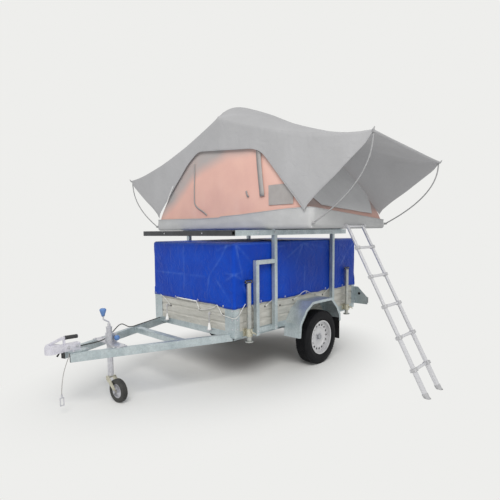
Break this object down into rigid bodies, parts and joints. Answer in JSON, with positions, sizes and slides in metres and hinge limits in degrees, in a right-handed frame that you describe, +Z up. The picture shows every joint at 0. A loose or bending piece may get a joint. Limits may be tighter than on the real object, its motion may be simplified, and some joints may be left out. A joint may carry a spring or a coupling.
{
  "type": "roof tent camping trailer",
  "caption": "Galvanised box trailer with a high tarpaulin, roof rack, folding soft roof tent with canopies, telescopic ladder, jockey wheel and prop stands.",
  "frame": {"origin": "centre of the coupling's ball socket", "axes": "+X to the rear, +Y to the trailer's right-hand side, +Z up; the ground is at Z -0.530 m"},
  "size_m": [3.573, 3.7369, 2.79],
  "materials": {
    "galvanised": "satin",
    "aluminium_sheet": "satin",
    "tube_alloy": "satin",
    "black_steel": "satin",
    "yellow_zinc": "satin",
    "rim_silver": "satin",
    "tyre_rubber": "matte",
    "black_rubber": "matte",
    "black_plastic": "matte",
    "white_plastic": "satin",
    "blue_plastic": "satin",
    "red_lens": "gloss",
    "blue_tarpaulin": "satin",
    "grey_canvas": "matte",
    "pale_canvas": "matte",
    "grey_cover": "matte",
    "floor_board": "satin"
  },
  "bodies": {
    "trailer": {"axle_arms": "galvanised", "axle_beam": "galvanised", "canopy_rods": "tube_alloy", "chassis_frame": "galvanised", "corner_posts": "galvanised", "coupling_handle": "black_plastic", "coupling_head": "galvanised", "drawbar_crossbar": "galvanised", "drawbar_rail_left": "galvanised", "drawbar_rail_right": "galvanised", "floor_panel": "floor_board", "front_rod_catches": "white_plastic", "jockey_clamp": "galvanised", "jockey_clamp_knob": "blue_plastic", "ladder_bracket": "tube_alloy", "light_cable": "black_rubber", "mud_flaps": "black_rubber", "mudguard_left": "galvanised", "mudguard_right": "galvanised", "prop_clamps": "yellow_zinc", "rack_cross_rails": "black_steel", "rack_posts": "galvanised", "rack_side_rails": "galvanised", "rear_lamp_brackets": "galvanised", "rear_lamps": "red_lens", "safety_cable": "black_rubber", "safety_carabiner": "galvanised", "sills": "galvanised", "tailgate_hinges": "galvanised", "tarp": "blue_tarpaulin", "tarp_frame": "galvanised", "tent_base": "tube_alloy", "tent_body": "pale_canvas", "tent_channels": "tube_alloy", "tent_fly": "grey_canvas", "tent_hoops": "tube_alloy", "tent_skirt": "grey_cover", "wall_front": "aluminium_sheet", "wall_left": "aluminium_sheet", "wall_right": "aluminium_sheet"},
    "wheel_left": {"wheel_rim_left": "rim_silver", "tyre_left": "tyre_rubber"},
    "wheel_right": {"wheel_rim_right": "rim_silver", "tyre_right": "tyre_rubber"},
    "jockey_tube": {"jockey_outer_tube": "galvanised", "jockey_crank": "black_plastic"},
    "jockey_stem": {"jockey_inner_tube": "galvanised"},
    "jockey_caster": {"jockey_fork": "galvanised"},
    "jockey_wheel": {"jockey_rim": "rim_silver", "jockey_tyre": "black_rubber"},
    "tailgate_flap": {"tailgate": "aluminium_sheet"},
    "prop_front_left": {"prop_leg_front_left": "galvanised"},
    "prop_front_right": {"prop_leg_front_right": "galvanised"},
    "prop_rear_left": {"prop_leg_rear_left": "galvanised"},
    "prop_rear_right": {"prop_leg_rear_right": "galvanised"},
    "ladder_top": {"ladder_section_1": "tube_alloy"},
    "ladder_second": {"ladder_section_2": "tube_alloy"},
    "ladder_third": {"ladder_section_3": "tube_alloy"},
    "ladder_foot": {"ladder_section_4": "tube_alloy"}
  },
  "joints": [
    {"name": "wheel_left_spin", "type": "hinge", "parent": "trailer", "child": "wheel_left", "pos_m": [2.502, -0.728, -0.241], "axis": [0, 1, 0], "continuous": true},
    {"name": "wheel_right_spin", "type": "hinge", "parent": "trailer", "child": "wheel_right", "pos_m": [2.502, 0.728, -0.241], "axis": [0, 1, 0], "continuous": true},
    {"name": "jockey_tube_slide", "type": "slide", "parent": "trailer", "child": "jockey_tube", "axis": [0, 0, 1], "range_m": [0, 0.2]},
    {"name": "jockey_screw", "type": "slide", "parent": "jockey_tube", "child": "jockey_stem", "axis": [0, 0, 1], "range_m": [-0.12, 0]},
    {"name": "jockey_swivel", "type": "hinge", "parent": "jockey_stem", "child": "jockey_caster", "pos_m": [0.485, 0, -0.32], "axis": [0, 0, 1], "continuous": true},
    {"name": "jockey_wheel_spin", "type": "hinge", "parent": "jockey_caster", "child": "jockey_wheel", "pos_m": [0.49719, -0.09925, -0.43], "axis": [0.9925, 0.1219, 0], "continuous": true},
    {"name": "tailgate_hinge", "type": "hinge", "parent": "trailer", "child": "tailgate_flap", "pos_m": [3.469, 0, -0.018], "axis": [0, 1, 0], "range_deg": [0, 90]},
    {"name": "prop_front_left_slide", "type": "slide", "parent": "trailer", "child": "prop_front_left", "axis": [0, 0, 1], "range_m": [-0.41, 0.03]},
    {"name": "prop_front_right_slide", "type": "slide", "parent": "trailer", "child": "prop_front_right", "axis": [0, 0, 1], "range_m": [-0.41, 0.03]},
    {"name": "prop_rear_left_slide", "type": "slide", "parent": "trailer", "child": "prop_rear_left", "axis": [0, 0, 1], "range_m": [-0.41, 0.03]},
    {"name": "prop_rear_right_slide", "type": "slide", "parent": "trailer", "child": "prop_rear_right", "axis": [0, 0, 1], "range_m": [-0.41, 0.03]},
    {"name": "ladder_hinge", "type": "hinge", "parent": "trailer", "child": "ladder_top", "pos_m": [2.461, -1.209, 0.942], "axis": [-1, 0, 0], "range_deg": [0, 60]},
    {"name": "ladder_slide_2", "type": "slide", "parent": "ladder_top", "child": "ladder_second", "axis": [0, 0.4678, 0.8839], "range_m": [0, 0.17]},
    {"name": "ladder_slide_3", "type": "slide", "parent": "ladder_second", "child": "ladder_third", "axis": [0, 0.4678, 0.8839], "range_m": [0, 0.17]},
    {"name": "ladder_slide_4", "type": "slide", "parent": "ladder_third", "child": "ladder_foot", "axis": [0, 0.4678, 0.8839], "range_m": [0, 0.17]}
  ],
  "couplings": [
    {"joint": "ladder_slide_3", "follows": "ladder_slide_2", "ratio": 1},
    {"joint": "ladder_slide_4", "follows": "ladder_slide_2", "ratio": 1}
  ]
}
